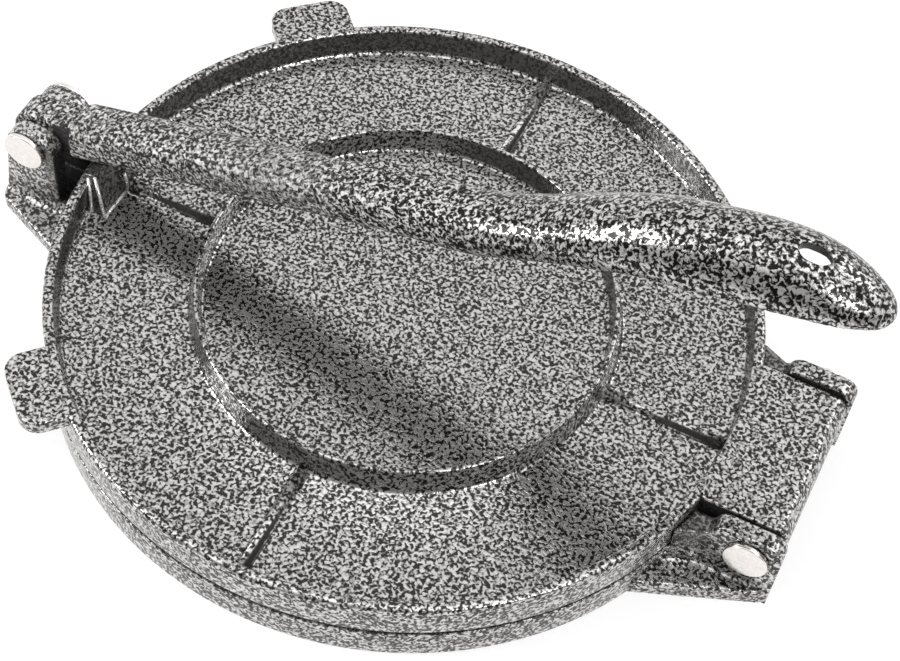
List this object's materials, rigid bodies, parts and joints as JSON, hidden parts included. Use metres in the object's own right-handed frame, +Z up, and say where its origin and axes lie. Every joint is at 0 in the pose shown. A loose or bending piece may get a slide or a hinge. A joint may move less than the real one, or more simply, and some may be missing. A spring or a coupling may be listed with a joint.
{
  "type": "tortilla press",
  "caption": "Round cast tortilla press with ribbed plates, side hinge and a long lever handle, in silver-vein enamel",
  "frame": {"origin": "Centre of the base's underside footprint, on the plane it rests on: the axis of the two round plates at Z = 0.", "axes": "+X runs from the lever's pin across the plates to the hinge and the tip of the grip. +Z is up. +Y completes the right-handed frame."},
  "size_m": [0.2539, 0.203, 0.1069],
  "materials": {
    "vein_enamel": "glossy silver enamel with a fine dark vein pattern",
    "bright_steel": "polished"
  },
  "bodies": {
    "base": {"base_plate": "vein_enamel", "lever_pin": "bright_steel", "lever_pin_cap": "bright_steel", "hinge_pin": "bright_steel", "hinge_pin_cap": "bright_steel"},
    "top": {"top_plate": "vein_enamel"},
    "lever": {"lever": "vein_enamel"}
  },
  "joints": [
    {"name": "lever_swing", "type": "hinge", "parent": "base", "child": "lever", "pos_m": [-0.11875, 0, 0.02605], "axis": [0, -1, 0], "range_deg": [0, 165]},
    {"name": "plate_hinge", "type": "hinge", "parent": "base", "child": "top", "pos_m": [0.1159, 0, 0.01765], "axis": [0, 1, 0], "range_deg": [0, 15]}
  ],
  "couplings": [
    {"joint": "plate_hinge", "follows": "lever_swing", "ratio": 0.09}
  ]
}
